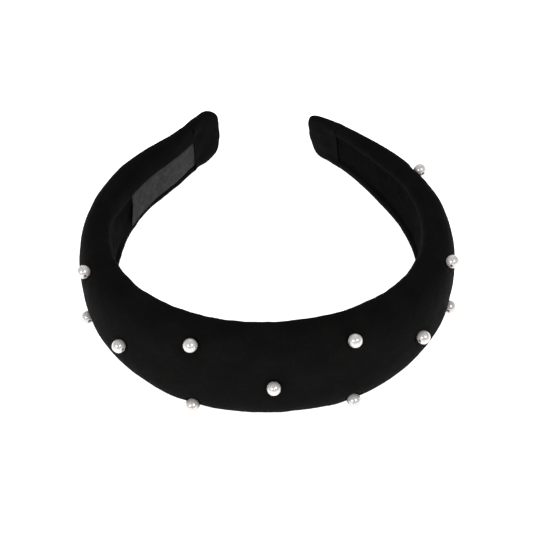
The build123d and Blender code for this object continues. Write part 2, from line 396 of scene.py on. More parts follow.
def ring_faces(rows, count, flip=False):
    """Quads of a grid whose rows are closed rings. flip turns them over."""
    faces = []
    for r in range(rows - 1):
        for c in range(count):
            n = (c + 1) % count
            quad = (r * count + c, r * count + n, (r + 1) * count + n, (r + 1) * count + c)
            faces.append(quad[::-1] if flip else quad)
    return faces


def closed_loft(name, rings, material, flip=False, uvs=None):
    """A closed body from rings of points, with a flat face at each end."""
    rows, count, _ = rings.shape
    faces = ring_faces(rows, count, flip)
    first = list(range(count))
    last = [(rows - 1) * count + c for c in range(count)]
    faces.append(first if flip else first[::-1])
    faces.append(last[::-1] if flip else last)
    caps = [len(faces) - 2, len(faces) - 1]
    return make_mesh(name, rings.reshape(-1, 3), faces, material, caps, uvs)


def halves(distances):
    """Rows of a full-length grid that belong to the left and to the right half."""
    middle = len(distances) // 2
    return {"left": slice(0, middle + 1), "right": slice(middle, None)}


def bend_piece(piece, side_name):
    """Bakes the piece's transform into its mesh; the piece does not bend. The ends of the stretch where
    the crown meets the arm are worked out but not used.
    """
    side = SIDES[side_name]
    start, end = (
        to_frame(plan_point(side * distance)) for distance in (BEND_FROM, BEND_TO)
    )
    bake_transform(piece)


# ======================= materials =======================
REMAP_SOCKETS = ("From Min", "From Max", "To Min", "To Max")


class Nodes:
    """Short names for building one material."""

    def __init__(self, name):
        self.material = bpy.data.materials.new(name)
        self.material.use_nodes = True
        self.tree = self.material.node_tree
        self.shader = self.tree.nodes["Principled BSDF"]

    def add(self, kind, **settings):
        node = self.tree.nodes.new(kind)
        for key, value in settings.items():
            setattr(node, key, value)
        return node

    def link(self, source, target):
        self.tree.links.new(source, target)

    def place(self, uv=None, scale=(1, 1, 1)):
        """Coordinates in metres: the frame's own, or a UV map of the piece."""
        if uv:
            source = self.add("ShaderNodeUVMap", uv_map=uv).outputs["UV"]
        else:
            source = self.add("ShaderNodeTexCoord").outputs["Object"]
        mapping = self.add("ShaderNodeMapping")
        mapping.inputs["Scale"].default_value = scale
        self.link(source, mapping.inputs["Vector"])
        return mapping.outputs["Vector"]

    def noise(self, scale, detail=2.0, rough=0.5, where=None):
        node = self.add("ShaderNodeTexNoise")
        node.inputs["Scale"].default_value = scale
        node.inputs["Detail"].default_value = detail
        node.inputs["Roughness"].default_value = rough
        self.link(where or self.place(), node.inputs["Vector"])
        return node.outputs["Fac"]

    def stripes(self, direction, scale, distortion, detail=2.0, detail_scale=1.0):
        """Woven stripes on the piece's own UV map."""
        node = self.add(
            "ShaderNodeTexWave", wave_type="BANDS", bands_direction=direction, wave_profile="SIN"
        )
        node.inputs["Scale"].default_value = scale
        node.inputs["Distortion"].default_value = distortion
        node.inputs["Detail"].default_value = detail
        node.inputs["Detail Scale"].default_value = detail_scale
        self.link(self.place("weave"), node.inputs["Vector"])
        return node.outputs["Fac"]

    def remap(self, value, low, high, to_low, to_high):
        node = self.add("ShaderNodeMapRange")
        for socket, number in zip(REMAP_SOCKETS, (low, high, to_low, to_high)):
            node.inputs[socket].default_value = number
        self.link(value, node.inputs["Value"])
        return node.outputs["Result"]

    def colours(self, value, stops):
        ramp_node = self.add("ShaderNodeValToRGB")
        elements = ramp_node.color_ramp.elements
        elements[0].position, elements[1].position = stops[0][0], stops[-1][0]
        elements[0].color, elements[1].color = (*stops[0][1], 1), (*stops[-1][1], 1)
        for position, colour in stops[1:-1]:
            elements.new(position).color = (*colour, 1)
        self.link(value, ramp_node.inputs["Fac"])
        return ramp_node.outputs["Color"]

    def mixed(self, share, first, second):
        """Share of second over first, for numbers. Share may be a socket or a number."""
        node = self.add("ShaderNodeMix", data_type="FLOAT")
        for socket, value in zip(("Factor", "A", "B"), (share, first, second)):
            if isinstance(value, (int, float)):
                node.inputs[socket].default_value = value
            else:
                self.link(value, node.inputs[socket])
        return node.outputs["Result"]

    def bump(self, height, distance, strength, under=None):
        node = self.add("ShaderNodeBump")
        node.inputs["Distance"].default_value = distance
        node.inputs["Strength"].default_value = strength
        self.link(height, node.inputs["Height"])
        if under is not None:
            self.link(under, node.inputs["Normal"])
        return node.outputs["Normal"]

    def set(self, **values):
        """Constant values, straight on the shader's sockets."""
        for key, value in values.items():
            self.shader.inputs[key.replace("_", " ")].default_value = value

    def finish(self, colour, roughness, normal):
        self.link(colour, self.shader.inputs["Base Color"])
        self.link(roughness, self.shader.inputs["Roughness"])
        self.link(normal, self.shader.inputs["Normal"])
        return self.material


def grey(value, warmth=0.0):
    return (value * (1 + warmth), value, value * (1 - warmth))


def velvet_material():
    """Cut pile: nearly black from above, paler at a grazing angle, laid this way and that, with patches
    of painted sheen in its colour.
    """
    n = Nodes("velvet")
    # This broad noise is the pile laid different ways: real in the bump and roughness, painted sheen
    # and painted shade in the colour.
    brushed_pile_and_sheen = n.noise(95, 3.0, 0.55)
    tufts = n.noise(1500, 2.0, 0.6)
    pile = n.noise(4200, 2.0, 0.7)
    # Lighter and darker patches of painted sheen, over the random tone of the tufts.
    shade = n.mixed(0.35, brushed_pile_and_sheen, tufts)
    # The palest stop is painted sheen, where the pile catches the light.
    deep, plain, painted_sheen = grey(0.0030), grey(0.0042, 0.02), grey(0.0064, 0.03)
    colour = n.colours(shade, [(0.3, deep), (0.5, plain), (0.72, painted_sheen)])
    rough = n.remap(brushed_pile_and_sheen, 0.3, 0.7, 0.84, 0.97)
    soft = n.bump(brushed_pile_and_sheen, 0.0016, 0.35)
    tuft_bump = n.bump(tufts, 0.00022, 0.6, soft)
    normal = n.bump(pile, 0.00009, 0.7, tuft_bump)
    n.set(Specular_IOR_Level=0.02, Sheen_Weight=0.06, Sheen_Roughness=0.35)
    n.set(Sheen_Tint=(0.25, 0.24, 0.235, 1))
    return n.finish(colour, rough, normal)


def woven_material(name, shades, rib_rate, mottle_rate, gloss):
    """Ribbon or label: fine ribs across it and threads along it, slightly rubbed."""
    n = Nodes(name)
    ribs = n.stripes("X", rib_rate, 0.6, 1.0, 2.0)
    threads = n.stripes("Y", 820.0, 0.8)
    mottle = n.noise(mottle_rate, 4.0, 0.62)
    fuzz = n.noise(2600, 2.0, 0.6)
    shade = n.mixed(0.30, mottle, n.mixed(0.5, ribs, fuzz))
    dark, middle, light = shades
    colour = n.colours(shade, [(0.3, grey(dark)), (0.5, grey(middle, 0.01)), (0.7, grey(light, 0.02))])
    rough = n.remap(mottle, 0.3, 0.7, 0.62, 0.86)
    rib_bump = n.bump(ribs, 0.00016, 0.8)
    thread_bump = n.bump(threads, 0.00005, 0.7, rib_bump)
    normal = n.bump(fuzz, 0.00006, 0.5, thread_bump)
    n.set(Specular_IOR_Level=gloss, Sheen_Weight=gloss, Sheen_Roughness=0.5)
    n.set(Sheen_Tint=(0.4, 0.4, 0.4, 1))
    return n.finish(colour, rough, normal)


def pearl_material():
    """Pearlescent lacquer: a warm white body with a soft gloss and faint orient."""
    n = Nodes("pearl")
    cloud = n.noise(420, 3.0, 0.55)
    grain = n.noise(2300, 2.0, 0.5)
    warm, plain, cool = (0.63, 0.58, 0.55), (0.66, 0.635, 0.62), (0.63, 0.63, 0.64)
    colour = n.colours(cloud, [(0.3, warm), (0.5, plain), (0.7, cool)])
    rough = n.remap(cloud, 0.3, 0.7, 0.17, 0.25)
    uneven = n.bump(cloud, 0.00010, 0.35)
    normal = n.bump(grain, 0.00001, 0.5, uneven)
    n.set(Metallic=0.32, Specular_IOR_Level=0.5)
    n.set(Coat_Weight=0.5, Coat_Roughness=0.08, Coat_IOR=1.6)
    return n.finish(colour, rough, normal)


def thread_material():
    n = Nodes("thread")
    fibres = n.noise(5200, 3.0, 0.6)
    worn = n.noise(900, 2.0, 0.5)
    colour = n.colours(n.mixed(0.4, fibres, worn), [(0.3, grey(0.009)), (0.7, grey(0.026, 0.02))])
    rough = n.remap(fibres, 0.3, 0.7, 0.45, 0.7)
    n.set(Specular_IOR_Level=0.35, Sheen_Weight=0.1, Sheen_Roughness=0.4)
    return n.finish(colour, rough, n.bump(fibres, 0.00004, 0.8))


def foam_material():
    n = Nodes("foam")
    cells = n.add("ShaderNodeTexVoronoi", feature="F1")
    cells.inputs["Scale"].default_value = 1700.0
    n.link(n.place(), cells.inputs["Vector"])
    stain = n.noise(60, 3.0, 0.5)
    # The cells' distance darkens the middle of each cell, where the bump sinks it: painted shade in the
    # pores. The stain noise is the foam's own uneven tone.
    shade = n.mixed(0.45, stain, cells.outputs["Distance"])
    dark, middle, light = (0.52, 0.49, 0.42), (0.72, 0.70, 0.63), (0.80, 0.79, 0.74)
    colour = n.colours(shade, [(0.25, dark), (0.5, middle), (0.8, light)])
    rough = n.remap(stain, 0.3, 0.7, 0.85, 0.97)
    n.set(Specular_IOR_Level=0.2)
    return n.finish(colour, rough, n.bump(cells.outputs["Distance"], 0.0003, 0.9))


def plastic_material():
    n = Nodes("core_plastic")
    flow = n.noise(240, 3.0, 0.5, n.place(scale=(1, 1, 0.3)))
    grain = n.noise(3000, 2.0, 0.5)
    colour = n.colours(flow, [(0.3, grey(0.022)), (0.7, grey(0.034))])
    rough = n.remap(flow, 0.3, 0.7, 0.38, 0.55)
    n.set(Specular_IOR_Level=0.5)
    return n.finish(colour, rough, n.bump(grain, 0.00002, 0.6))


# ======================= velvet cover =======================
COVER_STEP = 0.9
HEM_STEP = 0.2
HEM_ROWS_FROM = WRAP_START - 0.6
OUTER_POINTS = 109
VELVET_BROAD = (0.09, 26.0)  # height and wavelength of its waves, as in the other blocks
VELVET_SMALL = (0.03, 9.0)
VELVET_FINE = (0.02, 3.2)
GATHERS = (0.06, 6.5)
CALM_LENGTH = 12.0           # the waves die down over this length before the hem,
CALM_SHARE = 0.8             # by this share

# ---- across the cover, as shares of the way from a raw edge to the top of the dome ----
THIN_TO = 0.14               # the cloth is as thin as its tuck up to here,
FULL_FROM = 0.30             # and has its full thickness from here
FREE_FROM = 0.13             # the waves begin here,
FREE_TO = 0.25               # and have their full height from here
GATHERS_AT = 0.20            # middle of the gathers along the hem
GATHERS_WIDTH = 0.07


def hem_lag(distance, out_by):
    """How much later the hem of the tip wrap starts, at this height of the section."""
    side = -1 if distance < 0 else 1
    return HEM_SLANT[side] * ease(-out_by, 0.0, INNER_FACE_AT * depth(distance))


def pressed(distances, paths):
    """How far the wrap presses each point in, from one (out, up) path at each distance."""
    lag = np.stack([hem_lag(d, path[:, 0]) for d, path in zip(distances, paths)])
    behind = np.abs(distances)[:, None] - lag
    return PRESSED_IN * ease(behind, WRAP_START - PRESSED_BEFORE, WRAP_START + PRESSED_AFTER)


def ribbon_edges(distance):
    """From the widest line of the section to the lower and the upper edge of the ribbon."""
    if distance > 0:
        return {-1: LINING_EDGE, 1: LINING_EDGE}
    share = ease(abs(distance), OFF_CENTRE_FROM, OFF_CENTRE_TO)
    return {
        -1: LINING_EDGE + (LEFT_LOWER_EDGE - LINING_EDGE) * share,
        1: LINING_EDGE + (LEFT_UPPER_EDGE - LINING_EDGE) * share,
    }


def half_cover_path(distance, edge):
    """Pile side of the velvet from the top of the dome to the raw edge under the ribbon."""
    wide, high, low = half_width(distance), rise(distance), depth(distance)
    angle = np.linspace(0, np.pi / 2, 90)
    dome = np.stack([
        (high + PILE_HEIGHT) * np.abs(np.cos(angle)) ** (2 / OUTER_SQUARENESS),
        wide * np.sin(angle) ** (2 / OUTER_SQUARENESS),
    ], axis=1)
    turn_up = wide - edge + ROUNDOVER
    last = math.asin(min(turn_up / wide, WIDEST_TURN) ** (INNER_SQUARENESS / 2))
    angle = np.linspace(np.pi / 2, last, 60)[1:]
    side = np.stack([
        -low * np.abs(np.cos(angle)) ** (2 / INNER_SQUARENESS),
        wide * np.sin(angle) ** (2 / INNER_SQUARENESS),
    ], axis=1)
    turn_out, turn_up = side[-1]
    foot_out = lining_face(distance) + LINING_THICKNESS - FOOT_SINK
    foot_up = wide - edge - FOOT_UNDER
    angle = np.linspace(0, np.pi / 2, 24)[1:]
    roundover = np.stack([
        foot_out + (turn_out - foot_out) * np.cos(angle) - ROLL_PUFF * np.sin(2 * angle),
        turn_up - (turn_up - foot_up) * np.sin(angle),
    ], axis=1)
    tuck = np.array(TUCK_PATH) + [foot_out, foot_up]
    return np.concatenate([dome, side, roundover, tuck])


def cover_path(distance):
    """The whole path, from the lower raw edge over the dome to the upper one."""
    edges = ribbon_edges(distance)
    lower = half_cover_path(distance, edges[-1])[:0:-1] * np.array([1, -1])
    return resampled(np.concatenate([lower, half_cover_path(distance, edges[1])]), OUTER_POINTS)


def cover_rows():
    """Distances of the rows of the cover. They lie closer together along the slanting hems."""
    even = np.arange(0, HEM_ROWS_FROM - COVER_STEP / 2, COVER_STEP)
    hem = np.arange(HEM_ROWS_FROM, ALONG_COVER, HEM_STEP)
    one_side = np.concatenate([even, hem])
    return np.concatenate([-one_side[:0:-1], one_side])


def cover_grids():
    """Pile side and backing of the whole cover, and the distances of their rows."""
    distances = cover_rows()
    paths = np.stack([cover_path(d) for d in distances])
    smooth = placed(distances, paths)
    normals = -grid_normals(smooth)
    columns = np.arange(OUTER_POINTS)
    from_edge = np.minimum(columns, columns[::-1]) / (OUTER_POINTS / 2)
    free = ramp(from_edge, FREE_FROM, FREE_TO)
    gathered = np.exp(-(((from_edge - GATHERS_AT) / GATHERS_WIDTH) ** 2))
    waves = smooth_noise(smooth, *VELVET_BROAD, seed=11) + smooth_noise(smooth, *VELVET_SMALL, seed=12)
    fine = smooth_noise(smooth, *VELVET_FINE, seed=13)
    along_only = np.stack([distances, 0 * distances, 0 * distances], axis=1)
    gathers = smooth_noise(along_only, *GATHERS, seed=14)[:, None] * gathered[None, :]
    fade = 1 - CALM_SHARE * ease(np.abs(distances), COVER_END - CALM_LENGTH, COVER_END)[:, None]
    moved = (waves + fine) * free[None, :] * fade + gathers * fade - pulled_in(smooth)
    moved -= pressed(distances, paths) * free[None, :]
    outer = smooth + normals * moved[..., None]
    thickness = np.interp(from_edge, [THIN_TO, FULL_FROM], [TUCKED_THICKNESS, VELVET_THICKNESS])
    backing = outer - normals * thickness[None, :, None]
    return distances, outer, backing


def build_cover(material):
    distances, outer, backing = cover_grids()
    rings = np.concatenate([outer, backing[:, ::-2]], axis=1)
    for side_name, rows in halves(distances).items():
        piece = closed_loft("velvet_cover_" + side_name, rings[rows], material, flip=True)
        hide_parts("cover_" + side_name)
        if side_name == "right":
            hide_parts("cover_crown")
        bend_piece(piece, side_name)


# ======================= foam pad =======================
FOAM_STEP = 2.5
FOAM_POINTS = 64
ALONG_FOAM = ALONG_COVER - 1.0
FOAM_FROM_CORE = 0.2         # from the outer face of the core to the foam
FOAM_PAST_CORE = 0.3         # the foam starts to turn down this far past the core's edge,
FOAM_TURN = 0.5              # and has turned down after this much more
FOAM_WAVES = (0.06, 5.0)


def foam_ring(distance):
    """Section of the pad: the velvet's, set in, and flat where it lies on the core."""
    wide, high, low = (size(distance) - FOAM_INSET for size in (half_width, rise, depth))
    path = section_ring(high, low, wide, 240)
    core_outer = lining_face(distance) + CORE_FROM_LINING + CORE_THICKNESS + FOAM_FROM_CORE
    turn_at = half_width(distance) - CORE_EDGE + FOAM_PAST_CORE
    over_core = 1 - ramp(np.abs(path[:, 1]), turn_at, turn_at + FOAM_TURN)
    path[:, 0] = np.maximum(path[:, 0], core_outer * over_core + path[:, 0] * (1 - over_core))
    return resampled_ring(path, FOAM_POINTS)


def build_foam(material):
    count = 2 * round(ALONG_FOAM / FOAM_STEP) + 1
    distances = np.linspace(-ALONG_FOAM, ALONG_FOAM, count)
    paths = np.stack([foam_ring(d) for d in distances])
    rings = placed(distances, paths)
    normals = -grid_normals(rings, closed=True)
    rough = smooth_noise(rings, *FOAM_WAVES, seed=21) - pulled_in(rings + normals * FOAM_INSET)
    rough -= pressed(distances, paths)
    rings = rings + normals * rough[..., None]
    for side_name, rows in halves(distances).items():
        piece = closed_loft("foam_pad_" + side_name, rings[rows], material, flip=True)
        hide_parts("pad_" + side_name)
        if side_name == "right":
            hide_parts("pad_crown")
        bend_piece(piece, side_name)


# ======================= lining ribbon =======================
LINING_STEP = 0.8
LINING_COLUMNS = 33
RIBBON_BOW = 0.12            # how much its middle stands out
RIBBON_BROAD = (0.10, 17.0)
RIBBON_SMALL = (0.05, 6.0)
CALM_EDGE = 0.25             # share of the half width over which the waves die down at an edge,
EDGE_WAVES = 0.3             # to this share
RIB_HEIGHT = 0.035
RIB_PITCH = 1.6


def build_lining(material):
    count = 2 * round(ALONG_COVER / LINING_STEP) + 1
    distances = np.linspace(-ALONG_COVER, ALONG_COVER, count)
    across = np.linspace(-1, 1, LINING_COLUMNS)
    uppers = np.array([half_width(d) - ribbon_edges(d)[1] for d in distances])
    lowers = np.array([ribbon_edges(d)[-1] - half_width(d) for d in distances])
    widths, middles = (uppers - lowers) / 2, (uppers + lowers) / 2
    faces_at = np.array([lining_face(d) for d in distances])
    bow = RIBBON_BOW * (1 - across**2)
    paths = np.stack([
        np.stack([face - bow, middle + across * wide], axis=1)
        for face, middle, wide in zip(faces_at, middles, widths)
    ])
    face_side = placed(distances, paths)
    normals = grid_normals(face_side)
    calm = EDGE_WAVES + (1 - EDGE_WAVES) * ramp(1 - np.abs(across), 0.0, CALM_EDGE)
    broad = smooth_noise(face_side, *RIBBON_BROAD, seed=31)
    small = smooth_noise(face_side, *RIBBON_SMALL, seed=32)
    ribs = RIB_HEIGHT * np.sin(2 * np.pi * distances / RIB_PITCH)[:, None]
    face_side = face_side + normals * ((broad + small) * calm[None, :] + ribs)[..., None]
    back_side = face_side - normals * LINING_THICKNESS
    rings = np.concatenate([face_side, back_side[:, ::-1]], axis=1)
    uv_across = np.concatenate([across, across[::-1]])
    for side_name, rows in halves(distances).items():
        long = distances[rows]
        uv_rows = [np.stack([np.full(len(uv_across), d), uv_across * w], axis=1)
                   for d, w in zip(long, widths[rows])]
        uvs = np.concatenate(uv_rows) * MM
        piece = closed_loft("lining_ribbon_" + side_name, rings[rows], material, uvs=uvs)
        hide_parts("lining_" + side_name)
        if side_name == "right":
            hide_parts("lining_crown")
        bend_piece(piece, side_name)


# ======================= label =======================
LABEL_LENGTH = 44.0
LABEL_MARGIN = 0.3           # from the edges of the ribbon
LABEL_THICKNESS = 0.3
LABEL_ROWS = 121
HIDDEN_END = COVER_END + 8.0   # its other end lies under the tip wrap
LABEL_COLUMNS = 31
LABEL_ASKEW = 3.0            # how much the cut end slants, from its middle to either side
LABEL_FRAY = 0.35
CUT_WAVE = 0.25
LABEL_LIFT = 0.22            # from the face of the ribbon
LABEL_BOW = 0.12             # how much its middle stands out
CURL_LIFT = 0.15             # how much the cut end stands out,
CURL_FROM = 0.93             # from this share of the label's length on
LABEL_BROAD = (0.09, 13.0)
LABEL_SMALL = (0.04, 4.5)


def build_label(material):
    """A blank woven label on the ribbon of the left arm. Its free end is cut a little askew."""
    across = np.linspace(-1, 1, LABEL_COLUMNS)
    share = np.linspace(0, 1, LABEL_ROWS)
    draw = np.random.default_rng(51)
    fray = LABEL_FRAY * draw.uniform(-1, 1, LABEL_COLUMNS) + CUT_WAVE * np.sin(across * 4.0)
    free_end = COVER_END - LABEL_LENGTH + LABEL_ASKEW * across + fray
    grid = np.empty((LABEL_ROWS, LABEL_COLUMNS, 3))
    uvs = np.empty((LABEL_ROWS, LABEL_COLUMNS, 2))
    widths = np.empty((LABEL_ROWS, LABEL_COLUMNS))
    for row, part in enumerate(share):
        for column, side_share in enumerate(across):
            distance = -(HIDDEN_END + (free_end[column] - HIDDEN_END) * part)
            edges = ribbon_edges(distance)
            upper = half_width(distance) - edges[1] - LABEL_MARGIN
            lower = edges[-1] - half_width(distance) + LABEL_MARGIN
            widths[row, column] = upper - lower
            up_by = (upper + lower) / 2 + side_share * (upper - lower) / 2
            lift = LABEL_LIFT + LABEL_BOW * (1 - side_share**2)
            lift += CURL_LIFT * ramp(part, CURL_FROM, 1.0)
            origin, _, out, up = section_frame(distance)
            grid[row, column] = origin + out * (lining_face(distance) - lift) + up * up_by
            uvs[row, column] = (distance * MM, up_by * MM)
    normals = -grid_normals(grid)
    wavy = smooth_noise(grid, *LABEL_BROAD, seed=52) + smooth_noise(grid, *LABEL_SMALL, seed=53)
    face_side = grid + normals * wavy[..., None]
    back_side = face_side - normals * LABEL_THICKNESS
    rings = np.concatenate([face_side, back_side[:, ::-1]], axis=1)
    ring_uvs = np.concatenate([uvs, uvs[:, ::-1]], axis=1).reshape(-1, 2)
    piece = closed_loft("woven_label", rings, material, flip=True, uvs=ring_uvs)
    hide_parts("label_left")
    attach(piece, "left_arm")


# ======================= tip wraps =======================
WRAP_POINTS = 112
WRAP_ROUND = 8.0                     # the cap narrows over this length before its end,
WRAP_END_SCALE = 0.45                # to this share of the section,
WRAP_BULGE = 0.9                     # and its end stands out this much
WRAP_PROUD = 0.08                    # how far the cap stands proud of the cover before its hem
WRAP_CLOTH = 0.5                     # thickness of the cap
WRAP_LINING_END = HALF_LENGTH - 0.4  # where the inside of the cap ends
WRAP_WAVES = (0.13, 11.0)
WAVES_FROM = WRAP_START + 0.5
WAVES_FULL = WRAP_START + 3.0
FOLD_HEIGHT = 0.08                   # of the folds at the end of the cap
FOLD_COUNTS = (5, 8, 11, 15)         # waves of those folds, round the cap
FOLDS_FROM = HALF_LENGTH - 9.0
FOLDS_FULL = HALF_LENGTH - 1.0
WRAP_SAG = {-1: 0.85, 1: 1.2}        # how far each cap's hem sags into the channel
SAG_FROM = 3.0                       # from the widest line of the section to where it sags,
SAG_FULL = 7.0                       # and to where it sags most
HEM_FADES_AT = HALF_LENGTH - 6.0     # slant and sag of the hem have died down here
TIP_REACH = {-1: 3.0, 1: -1.8}       # how much longer than the plan each tip is
TIP_SPREAD = {-1: 0.9, 1: 0.0}       # how much each tip widens,
SPREAD_FROM = WRAP_START + 6.0       # between here
SPREAD_FULL = HALF_LENGTH - 5.0      # and here
TIP_CORNER = {-1: 0.0, 1: 0.6}       # how square the upper corner of each tip is


def wrap_ring(side, distance, scale, proud):
    """One ring of the cap. Its place runs on to the real end of this tip, and its width spreads."""
    spread = TIP_SPREAD[side] * ease(distance, SPREAD_FROM, SPREAD_FULL)
    wide = (half_width(distance) + spread) * scale + proud
    high = rise(distance) * scale + PILE_HEIGHT * scale + proud
    low = depth(distance) * scale + proud
    path = resampled_ring(section_ring(high, low, wide, 360), WRAP_POINTS)
    fuller = 1 + TIP_CORNER[side] * (1 / max(scale, WRAP_END_SCALE) - 1)
    path[:, 1] *= np.where(path[:, 1] > 0, fuller, 1.0)
    near_hem = 1 - ease(distance, WRAP_START, HEM_FADES_AT)
    reached = distance + TIP_REACH[side] * ease(distance, WRAP_START, HALF_LENGTH)
    lag = hem_lag(side * distance, path[:, 0]) * near_hem
    middle = 1 - ease(np.abs(path[:, 1]), wide - SAG_FULL, wide - SAG_FROM)
    sag = WRAP_SAG[side] * ease(-path[:, 0], 0.0, INNER_FACE_AT * low) * middle * near_hem
    ring = []
    for (out_by, up_by), later, sagged in zip(path, lag, sag):
        origin, _, out, up = section_frame(side * (reached + later))
        ring.append(origin + out * (out_by + sagged) + up * up_by)
    return np.array(ring)


def tip_scale(distance):
    to_end = min((HALF_LENGTH - distance) / WRAP_ROUND, 1.0)
    roundness = math.sqrt(max(1 - (1 - to_end) ** 2, 0.0))
    return WRAP_END_SCALE + (1 - WRAP_END_SCALE) * roundness


def wrap_places():
    """Distance, scale and proud of each ring: round the rolled hem, out to the tip and over it."""
    hem = WRAP_CLOTH / 2
    places = []
    for turn in np.linspace(0, math.pi, 9)[:-1]:
        distance = WRAP_START + hem - hem * math.sin(turn)
        places.append((distance, 1.0, WRAP_PROUD - hem - hem * math.cos(turn)))
    for turn in np.linspace(0.02, math.pi / 2, 40):
        distance = WRAP_START + hem + (HALF_LENGTH - WRAP_START - hem) * math.sin(turn)
        scale = tip_scale(distance)
        places.append((distance, scale, WRAP_PROUD * scale))
    for turn in np.linspace(0, math.pi / 2, 9)[1:-1]:
        scale = WRAP_END_SCALE * math.cos(turn)
        places.append((HALF_LENGTH + WRAP_BULGE * math.sin(turn), scale, WRAP_PROUD * scale))
    return places


def build_wrap(side_name, material):
    """A sewn cap: its hem is rolled under, and its end is drawn together."""
    side = SIDES[side_name]
    places = wrap_places()
    grid = np.array([wrap_ring(side, *place) for place in places])
    distances = [place[0] for place in places]
    normals = -grid_normals(grid, closed=True) * side
    far = np.array([ease(d, WAVES_FROM, WAVES_FULL) for d in distances])[:, None]
    end_folds = np.array([ease(d, FOLDS_FROM, FOLDS_FULL) for d in distances])[:, None]
    around = np.linspace(0, 2 * np.pi, WRAP_POINTS, endpoint=False)[None, :]
    draw = np.random.default_rng(41 + side)
    folds = sum(np.sin(k * around + draw.uniform(0, 6.28)) / k**0.5 for k in FOLD_COUNTS)
    moved = smooth_noise(grid, *WRAP_WAVES, seed=42 + side) * far + FOLD_HEIGHT * folds * end_folds
    grid = grid + normals * moved[..., None]

    lining = []
    for distance in np.linspace(WRAP_LINING_END, WRAP_START + WRAP_CLOTH, 16):
        scale = tip_scale(distance)
        lining.append(wrap_ring(side, distance, scale, WRAP_PROUD * scale - WRAP_CLOTH))
    grid = np.concatenate([np.array(lining), grid])
    faces = ring_faces(len(grid), WRAP_POINTS, flip=side > 0)
    points = np.concatenate([grid.reshape(-1, 3), [grid[0].mean(axis=0), grid[-1].mean(axis=0)]])
    total = len(points) - 2
    for c in range(WRAP_POINTS):
        n = (c + 1) % WRAP_POINTS
        last = total - WRAP_POINTS
        near, far_face = (total, n, c), (total + 1, last + c, last + n)
        faces.append(near[::-1] if side > 0 else near)
        faces.append(far_face[::-1] if side > 0 else far_face)
    piece = make_mesh("velvet_tip_" + side_name, points, faces, material)
    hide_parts("tip_wrap_" + side_name)
    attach(piece, side_name + "_arm")


# ======================= pearls and stitches =======================
PEARL_TURNS = 56
STITCH_STEPS = 150
PLY_SIDES = 7
PLY_RADIUS = 0.09
PLY_OFFSET = 0.075           # from the middle of the thread to the middle of a ply
PLY_TWISTS = 20


def pearl_profile():
    """(along the bore, radius) from one end of the bore round the outside and back through it."""
    radius = PEARL_DIAMETER / 2
    mouth = BORE_MOUTH / 2
    inside = PEARL_BORE / 2
    first = math.asin(mouth / radius)
    angles = np.linspace(first + 0.03, math.pi - first - 0.03, 40)
    outside = [(-radius * math.cos(a), radius * math.sin(a)) for a in angles]
    edge = radius * math.cos(first)
    lip = [(edge - 0.02, mouth - 0.02), (edge - 0.10, mouth - 0.10), (edge - 0.30, inside + 0.02)]
    bore = [(x, inside) for x in np.linspace(edge - 0.45, -edge + 0.45, 7)]
    near_lip = [(-x, r) for x, r in reversed(lip)]
    return outside + lip + bore + near_lip


def build_pearl(name, body, axes, material):
    middle, along, across, normal = axes
    profile = pearl_profile()
    angles = np.linspace(0, 2 * np.pi, PEARL_TURNS, endpoint=False)
    rings = np.array([
        [middle + along * x + (across * math.cos(a) + normal * math.sin(a)) * r for x, r in profile]
        for a in angles
    ])
    count = len(profile)
    points = rings.reshape(-1, 3)
    faces = []
    for t in range(PEARL_TURNS):
        for c in range(count):
            n, following = (c + 1) % count, (t + 1) % PEARL_TURNS
            faces.append((t * count + c, following * count + c, following * count + n, t * count + n))
    piece = make_mesh("pearl_bead_" + name, points, faces, material)
    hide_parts("pearl_" + name)
    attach(piece, body)


def stitch_route():
    """Closed loop of the stitch in the pearl's own plane, as (along, normal): through the bore,
    round the bead on both sides, down into the velvet and across under it.
    """
    hug = PEARL_DIAMETER / 2 + THREAD_HUG
    last = math.radians(THREAD_LEAVES)
    side = [(PEARL_DIAMETER / 2 - 0.25, 0.0)]
    side += [(hug * math.cos(a), -hug * math.sin(a)) for a in np.linspace(0.07, last, 12)]
    leg = side[-1][0] - 0.25
    side += [(leg, -THREAD_DEPTH + 1.6), (leg, -THREAD_DEPTH + 0.3), (leg - 0.3, -THREAD_DEPTH)]
    loop = side + [(-x, y) for x, y in reversed(side)]
    dense = resampled_ring(np.array(loop), 240)
    for _ in range(3):
        dense = (np.roll(dense, 1, axis=0) + 2 * dense + np.roll(dense, -1, axis=0)) / 4
    return dense


def build_stitch(name, body, axes, material):
    """Two plies twisted round each other along the loop."""
    middle, along, across, normal = axes
    route = resampled_ring(stitch_route(), STITCH_STEPS)
    tangent = np.roll(route, -1, axis=0) - np.roll(route, 1, axis=0)
    tangent /= np.linalg.norm(tangent, axis=1)[:, None]
    points, faces = [], []
    for ply in (0, 1):
        base = len(points)
        for i in range(STITCH_STEPS):
            phase = 2 * math.pi * PLY_TWISTS * i / STITCH_STEPS + math.pi * ply
            side = np.array([-tangent[i][1], tangent[i][0]])
            in_plane = along * side[0] + normal * side[1]
            centre = middle + along * route[i][0] + normal * route[i][1]
            centre = centre + (in_plane * math.cos(phase) + across * math.sin(phase)) * PLY_OFFSET
            for k in range(PLY_SIDES):
                a = 2 * math.pi * k / PLY_SIDES
                points.append(centre + (in_plane * math.cos(a) + across * math.sin(a)) * PLY_RADIUS)
        for i in range(STITCH_STEPS):
            here, following = base + i * PLY_SIDES, base + (i + 1) % STITCH_STEPS * PLY_SIDES
            for k in range(PLY_SIDES):
                n = (k + 1) % PLY_SIDES
                faces.append((here + k, following + k, following + n, here + n))
    piece = make_mesh("stitch_thread_" + name, np.array(points), faces, material)
    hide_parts("stitch_" + name)
    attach(piece, body)


